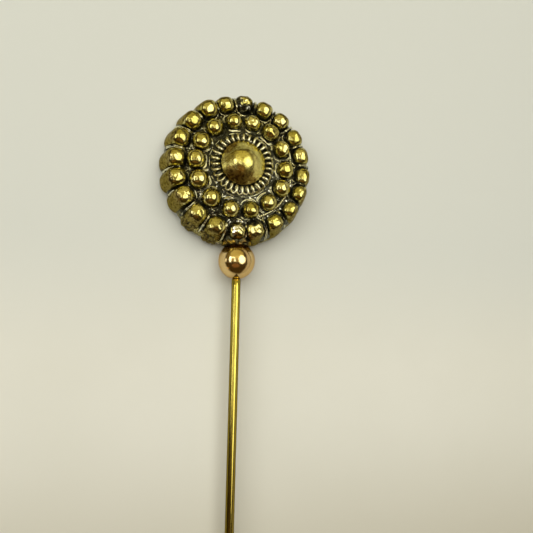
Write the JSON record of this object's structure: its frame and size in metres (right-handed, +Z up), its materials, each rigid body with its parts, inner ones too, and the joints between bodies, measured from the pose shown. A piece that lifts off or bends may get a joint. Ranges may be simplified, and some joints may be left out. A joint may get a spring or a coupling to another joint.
{
  "type": "stick pin",
  "caption": "Stick pin: round cast metal head with rings of beads and a coil round a dome, a ball collar and a long pointed wire stem.",
  "frame": {"origin": "centre of the flat back of the head, on the surface that it rests on", "axes": "+Z up out of the face of the head, -Y along the stem towards its point, +X to the right as the face is seen with the stem down"},
  "size_m": [0.0176, 0.076, 0.0064],
  "materials": {
    "antiqued_brass": "antiqued: polished beads and dome over blackened, finely crumbled recesses",
    "polished_gilt": "mirror polished warm gilt",
    "bright_brass_wire": "drawn wire, bright, with fine lengthwise marks"
  },
  "bodies": {
    "root": {"head": "antiqued_brass", "ball_collar": "polished_gilt", "pin_stem": "bright_brass_wire"}
  },
  "joints": []
}
